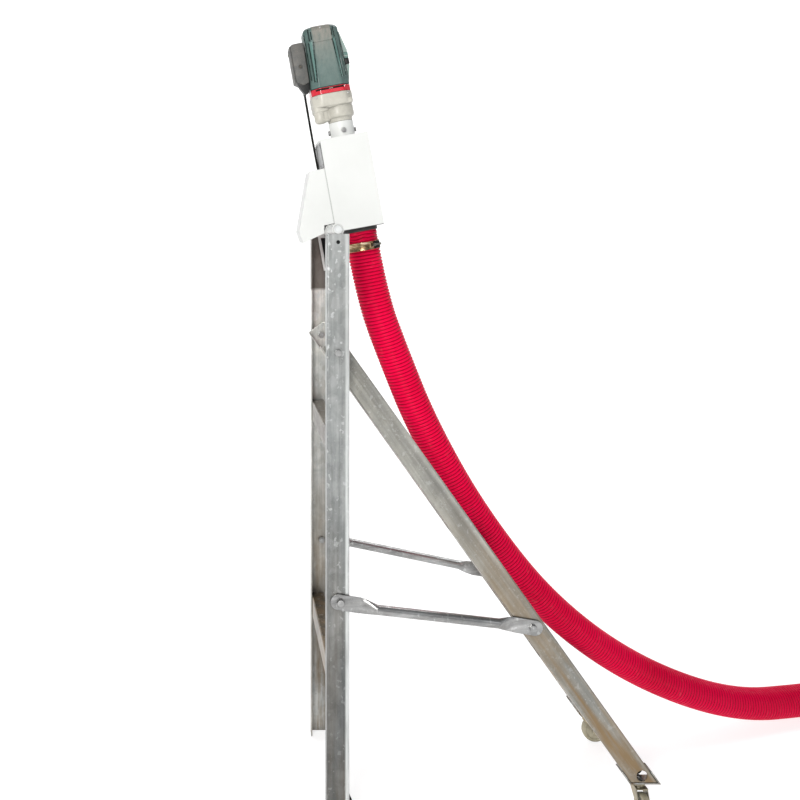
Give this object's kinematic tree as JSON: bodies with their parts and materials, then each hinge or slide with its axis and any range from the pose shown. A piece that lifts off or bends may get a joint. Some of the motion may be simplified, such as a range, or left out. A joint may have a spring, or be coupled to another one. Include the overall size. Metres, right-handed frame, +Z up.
{
  "type": "grain auger",
  "caption": "Flexible-hose grain auger: geared electric head and discharge box on a folding A-frame with casters, ribbed suction hose with an inner spiral and a caged intake.",
  "frame": {"origin": "bottom centre, on the floor, of the box of everything but the hose, its intake end, the power cable and its plug", "axes": "+Z up, +X from the front legs and discharge spout towards the casters, +Y across the stand, away from the side with the tie rod in front"},
  "size_m": [2.6359, 0.8265, 2.3059],
  "materials": {
    "galvanised": "galvanised, streaked",
    "zinc": "bright zinc plated",
    "white_paint": "white powder coat",
    "steel": "machined",
    "spring_steel": "drawn wire",
    "green_paint": "dusty green paint on a casting",
    "cream_paint": "cream grey paint on a casting",
    "red_plastic": "moulded",
    "black_plastic": "moulded",
    "grey_plastic": "moulded",
    "nylon": "cast nylon",
    "copper": "turned",
    "bronze_band": "passivated",
    "hose_red": "ribbed PVC",
    "rubber": "matt"
  },
  "bodies": {
    "stand": {"front_leg_near": "galvanised", "front_leg_far": "galvanised", "front_rungs": "galvanised", "frame_bolts": "zinc", "pivot_spacers": "zinc", "frame_nuts": "zinc", "head_cross_tube": "white_paint", "head_ears": "white_paint", "discharge_box": "white_paint", "discharge_spout": "white_paint", "box_collar": "white_paint", "collar_bolts": "zinc", "hose_spigot": "white_paint", "shaft_seal": "rubber", "hose_clamp": "bronze_band", "shaft_bearings": "steel", "gearbox_housing": "cream_paint", "gearbox_plate": "cream_paint", "fan_ring": "red_plastic", "stator": "steel", "motor_housing": "green_paint", "motor_end_cap": "green_paint", "brush_gear": "copper", "brush_cap": "black_plastic", "terminal_box": "grey_plastic", "terminal_box_lid": "grey_plastic", "terminal_screws": "zinc", "cable_gland": "rubber", "suction_hose": "hose_red", "flexible_auger": "spring_steel", "intake_collar": "galvanised", "intake_clamp": "bronze_band", "intake_cage": "galvanised", "power_cable": "rubber", "power_cable_coil": "rubber", "power_plug": "black_plastic"},
    "rear_frame": {"rear_leg_near": "galvanised", "rear_leg_far": "galvanised", "rear_rungs": "galvanised", "caster_brackets": "galvanised", "caster_kingpins": "zinc"},
    "tie_rod_near": {"tie_rod_near": "zinc"},
    "tie_rod_far": {"tie_rod_far": "zinc"},
    "caster_near": {"caster_fork_near": "zinc"},
    "caster_far": {"caster_fork_far": "zinc"},
    "wheel_near": {"caster_wheel_near": "nylon"},
    "wheel_far": {"caster_wheel_far": "nylon"},
    "drive": {"head_auger": "steel", "drive_coupling": "steel", "output_spindle": "steel", "output_gear": "steel"},
    "layshaft": {"layshaft": "steel", "layshaft_gear": "steel"},
    "armature": {"armature_shaft": "steel", "cooling_fan": "black_plastic", "armature_core": "steel", "commutator": "copper"},
    "tip_auger": {"intake_tip_auger": "spring_steel"},
    "rocker": {"rocker_switch": "black_plastic"}
  },
  "joints": [
    {"name": "rear_fold", "type": "hinge", "parent": "stand", "child": "rear_frame", "pos_m": [-0.4062, 0, 1.33], "axis": [0, 1, 0], "range_deg": [0, 23.5]},
    {"name": "tie_rod_near_swing", "type": "hinge", "parent": "stand", "child": "tie_rod_near", "pos_m": [-0.4002, 0, 0.639], "axis": [0, 1, 0], "range_deg": [0, 34.2]},
    {"name": "tie_rod_far_swing", "type": "hinge", "parent": "stand", "child": "tie_rod_far", "pos_m": [-0.4002, 0, 0.639], "axis": [0, 1, 0], "range_deg": [0, 34.2]},
    {"name": "caster_near_swivel", "type": "hinge", "parent": "rear_frame", "child": "caster_near", "pos_m": [0.4588, -0.1865, 0.095], "axis": [0, 0, 1], "continuous": true},
    {"name": "caster_far_swivel", "type": "hinge", "parent": "rear_frame", "child": "caster_far", "pos_m": [0.4588, 0.1865, 0.095], "axis": [0, 0, 1], "continuous": true},
    {"name": "wheel_near_roll", "type": "hinge", "parent": "caster_near", "child": "wheel_near", "pos_m": [0.4588, -0.2155, 0.041], "axis": [1, 0, 0], "continuous": true},
    {"name": "wheel_far_roll", "type": "hinge", "parent": "caster_far", "child": "wheel_far", "pos_m": [0.4878, 0.1865, 0.041], "axis": [0, 1, 0], "continuous": true},
    {"name": "drive_spin", "type": "hinge", "parent": "stand", "child": "drive", "pos_m": [-0.36509, 0, 1.98571], "axis": [-0.1771, 0, 0.9842], "continuous": true},
    {"name": "layshaft_spin", "type": "hinge", "parent": "stand", "child": "layshaft", "pos_m": [-0.42238, -0.01492, 2.04653], "axis": [-0.1771, 0, 0.9842], "continuous": true},
    {"name": "armature_spin", "type": "hinge", "parent": "stand", "child": "armature", "pos_m": [-0.40991, 0, 2.14022], "axis": [-0.1771, 0, 0.9842], "continuous": true},
    {"name": "tip_auger_spin", "type": "hinge", "parent": "stand", "child": "tip_auger", "pos_m": [2.03264, 0.46858, 0.05203], "axis": [-0.9855, -0.1697, -0.0016], "continuous": true},
    {"name": "rocker_tilt", "type": "hinge", "parent": "stand", "child": "rocker", "pos_m": [-0.49455, 0.031, 2.17579], "axis": [0.9842, 0, 0.1771], "range_deg": [0, 8]}
  ],
  "couplings": [
    {"joint": "tie_rod_near_swing", "follows": "rear_fold", "ratio": 1.45},
    {"joint": "tie_rod_far_swing", "follows": "rear_fold", "ratio": 1.45},
    {"joint": "layshaft_spin", "follows": "drive_spin", "ratio": -4.3333},
    {"joint": "armature_spin", "follows": "drive_spin", "ratio": 26.963},
    {"joint": "tip_auger_spin", "follows": "drive_spin", "ratio": 1}
  ]
}
